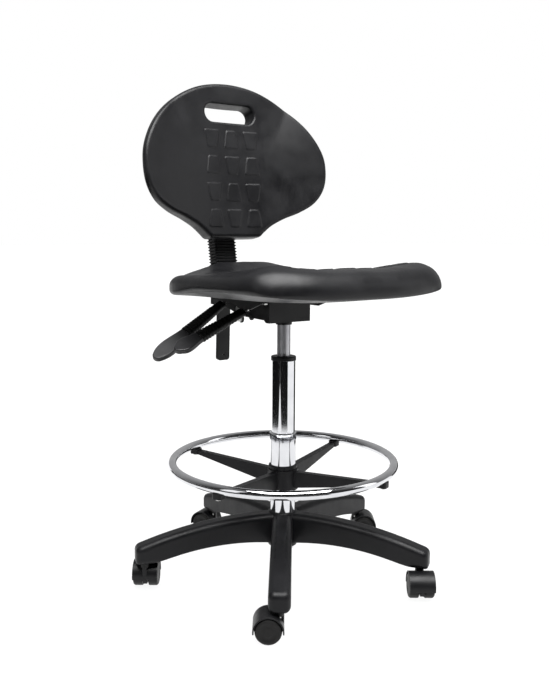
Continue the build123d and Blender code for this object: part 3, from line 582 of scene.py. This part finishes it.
def plywood(name):
    """Birch ply: veneer layers seen at the edge and a long grain on the face."""
    material, tree, shader = shader_of(name, {})
    layers = node(tree, "TexWave", {"Vector": place(tree), "Scale": 110.0}, bands_direction="Z")
    streaks = cloud(tree, place(tree, (1, 0.06, 1)), 0.002, 5.0)
    mixed = node(tree, "Math", {0: layers.outputs["Fac"], 1: streaks}, operation="MULTIPLY")
    link(
        tree, shader,
        Base_Color=tones(tree, mixed.outputs[0], (0.30, 0.18, 0.09), (0.62, 0.46, 0.29), 0.1, 0.6),
        Roughness=spread(tree, streaks, 0.5, 0.75),
        Normal=bumps(tree, streaks, 0.0002),
    )
    return material


def all_materials():
    """Every material of the chair, by the record's slot."""
    return {
        "foam_skin": moulded(
            "foam_skin", (0.0050, 0.0050, 0.0060), (0.0085, 0.0085, 0.0098),
            gloss=(0.34, 0.46), pebble=0.0011, edge=None, texture=0.00007, specular=0.33,
        ),
        "nylon_black": moulded(
            "nylon_black", (0.0055, 0.0055, 0.0065), (0.009, 0.009, 0.0105),
            gloss=(0.36, 0.46), pebble=0.0006, edge=0.0015, texture=0.00003, specular=0.28,
        ),
        "chrome_plate": chrome("chrome_plate"),
        "grey_steel": turned_steel(
            "grey_steel", (0.36, 0.36, 0.38), (0.46, 0.46, 0.48), gloss=(0.30, 0.42),
        ),
        "black_steel": powder_coat(
            "black_steel", (0.0045, 0.0045, 0.0052), (0.008, 0.008, 0.009),
        ),
        "bright_steel": turned_steel(
            "bright_steel", (0.50, 0.50, 0.50), (0.68, 0.68, 0.66), gloss=(0.22, 0.38),
        ),
        "lever_plastic": moulded(
            "lever_plastic", (0.022, 0.022, 0.024), (0.034, 0.034, 0.036),
            gloss=(0.30, 0.40), pebble=0.0008, edge=0.0012, texture=0.00002, specular=0.5,
        ),
        "grip_rubber": moulded(
            "grip_rubber", (0.005, 0.005, 0.005), (0.009, 0.009, 0.009),
            gloss=(0.38, 0.5), pebble=0.0005, edge=0.0008, texture=0.00004, specular=0.35,
        ),
        "bellows_rubber": moulded(
            "bellows_rubber", (0.005, 0.005, 0.006), (0.008, 0.008, 0.009),
            gloss=(0.42, 0.55), pebble=0.0006, edge=None, texture=0.00003, specular=0.3,
        ),
        "caster_plastic": moulded(
            "caster_plastic", (0.006, 0.006, 0.007), (0.010, 0.010, 0.011),
            gloss=(0.30, 0.42), pebble=0.0008, edge=0.0010, texture=0.00002, specular=0.3,
        ),
        "wheel_nylon": moulded(
            "wheel_nylon", (0.007, 0.007, 0.007), (0.015, 0.0145, 0.014),
            gloss=(0.40, 0.56), pebble=0.0007, edge=0.0010, texture=0.00003, specular=0.3,
        ),
        "bushing_plastic": moulded(
            "bushing_plastic", (0.62, 0.62, 0.59), (0.72, 0.72, 0.69),
            gloss=(0.35, 0.45), pebble=0.0006, edge=0.0006, texture=0.00002, specular=0.5,
        ),
        "buffer_rubber": moulded(
            "buffer_rubber", (0.02, 0.02, 0.02), (0.04, 0.04, 0.04),
            gloss=(0.6, 0.75), pebble=0.0006, edge=0.0006, texture=0.00004, specular=0.5,
        ),
        "ply_board": plywood("ply_board"),
    }


def dress(materials):
    """Give each CAD node the material of its slot."""
    for part in frame["record"]["subparts"]:
        mesh = frame["nodes"][part["node"]].data
        mesh.materials.clear()
        mesh.materials.append(materials[part["material_slot"]])


# ---- Stage --------------------------------------------------------------

def look_along(heading, pitch, roll):
    """Rotation of a camera that looks along a heading from +Y towards +X, down by pitch."""
    level = Matrix.Rotation(-heading, 4, "Z") @ Matrix.Rotation(math.pi / 2 - pitch, 4, "X")
    return level @ Matrix.Rotation(roll, 4, "Z")


def make_camera():
    """The camera, in front on the sitter's right, a little above the seat."""
    spot, pitch, roll = (-0.9762, -1.3866, 0.7346), 0.1425, 0.0049
    data = bpy.data.cameras.new("camera")
    data.lens = 42.0
    data.sensor_width = 36.0
    camera = bpy.data.objects.new("camera", data)
    bpy.context.scene.collection.objects.link(camera)
    camera.matrix_world = Matrix.Translation(spot) @ look_along(HEADING, pitch, roll)
    bpy.context.scene.camera = camera


def flat_piece(name, points, faces, material):
    """A flat piece of the stage."""
    mesh = bpy.data.meshes.new(name)
    mesh.from_pydata(points, [], faces)
    piece = bpy.data.objects.new(name, mesh)
    bpy.context.scene.collection.objects.link(piece)
    mesh.materials.append(material)
    return piece


def make_floor():
    """A wide white floor that lights nothing but what mirrors it."""
    half = 40
    material, tree, shader = shader_of("floor", {"Roughness": 0.9, "Specular IOR Level": 0.1})
    patches = cloud(tree, place(tree), 0.8)
    link(tree, shader, Base_Color=tones(tree, patches, (0.90, 0.90, 0.90), (0.92, 0.92, 0.92)))
    corners = [(-half, -half, 0), (half, -half, 0), (half, half, 0), (-half, half, 0)]
    floor = flat_piece("floor", corners, [(0, 1, 2, 3)], material)
    floor.visible_diffuse = False
    return floor


def make_dark_card(start, end, near, gap=0.0):
    """A black cloth on the floor round the camera's side, which only mirrors show.

    It spans from start to end, in degrees to the right of the camera, from a radius of near to far
    out, and gap lets a tongue of white floor into it.
    """
    far, height, tongue, tongue_width = 12, 0.002, -33, 9
    material = shader_of("dark_card", {"Base Color": (0.01, 0.01, 0.01, 1), "Specular IOR Level": 0})[0]
    turn = np.linspace(start, end, 90)
    radius = near + gap * np.exp(-((turn - tongue) / tongue_width) ** 2)
    points, faces = [], []
    for angle, reach in zip(np.radians(turn), radius):
        ray = TO_CAMERA * math.cos(angle) + TO_RIGHT * math.sin(angle)
        points += [(*(ray * distance).xy, height) for distance in (reach, far)]
    for k in range(len(turn) - 1):
        faces.append((2 * k, 2 * k + 1, 2 * k + 3, 2 * k + 2))
    card = flat_piece("dark_card", points, faces, material)
    card.visible_camera = False
    card.visible_diffuse = False
    card.visible_shadow = False
    card.visible_transmission = False


def softbox(name, centre, size, power, aim, lit):
    """A large area light aimed at a point, for what a collection lets it light."""
    data = bpy.data.lights.new(name, "AREA")
    data.shape = "RECTANGLE"
    data.size, data.size_y = size
    data.energy = power
    light = bpy.data.objects.new(name, data)
    light.location = centre
    light.rotation_euler = (Vector(aim) - Vector(centre)).to_track_quat("-Z", "Y").to_euler()
    light.light_linking.receiver_collection = lit
    bpy.context.scene.collection.objects.link(light)


def make_surround():
    """A room that is white to the camera, and otherwise light behind the chair and dark before it."""
    world = bpy.data.worlds.new("studio")
    bpy.context.scene.world = world
    world.use_nodes = True
    tree = world.node_tree
    direction = node(tree, "TexCoord", {}).outputs["Generated"]
    behind = node(
        tree, "VectorMath", {0: direction, 1: (*(-TO_CAMERA.xy), 0.3)}, operation="DOT_PRODUCT"
    ).outputs["Value"]
    room = spread(tree, behind, 0.03, 0.42, -0.2, 1.0)
    seen = node(tree, "LightPath", {}).outputs["Is Camera Ray"]
    level = node(tree, "Math", {0: room, 1: seen}, operation="MAXIMUM").outputs[0]
    tree.links.new(level, tree.nodes["Background"].inputs["Strength"])
    tree.nodes["Background"].inputs["Color"].default_value = (1, 1, 1, 1)


def make_light(floor):
    """A sun for the floor alone, and softboxes above and at both sides for the rest."""
    sun = bpy.data.objects.new("sky_light", bpy.data.lights.new("sky_light", "SUN"))
    sun.data.energy = 3.75
    sun.data.use_shadow = False
    sun.data.angle = math.radians(70)
    sun.rotation_euler = (math.radians(18), math.radians(12), 0)
    bpy.context.scene.collection.objects.link(sun)
    lit = bpy.data.collections.new("floor_alone")
    lit.objects.link(floor)
    sun.light_linking.receiver_collection = lit
    rest = bpy.data.collections.new("all_but_floor")
    rest.objects.link(floor)
    rest.collection_objects[0].light_linking.link_state = "EXCLUDE"
    softbox("top_box", (-0.3, -0.9, 2.6), (2.4, 1.8), 135, (0, 0, 0.5), rest)
    softbox("left_box", (-2.4, -0.2, 1.6), (0.8, 2.0), 6, (0, 0, 0.6), rest)
    softbox("right_box", (2.2, -1.6, 1.3), (0.8, 2.0), 8, (0, 0, 0.6), rest)


# ---- Scene --------------------------------------------------------------

make_camera()
make_surround()
make_light(make_floor())
make_dark_card(-134, 42, 1.35, gap=0.9)
make_dark_card(122, 172, 1.1)
materials = all_materials()
dress(materials)

seat = build_seat()
seat.data.materials.append(materials["foam_skin"])
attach(seat, "seat")
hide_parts("seat_pad")

back = build_back()
back.data.materials.append(materials["foam_skin"])
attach(back, "backrest")
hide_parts("backrest_pad")

bellows = build_bellows()
bellows.data.materials.append(materials["bellows_rubber"])
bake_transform(bellows)
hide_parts("bellows_cover")

bpy.context.scene.view_settings.view_transform = "Standard"
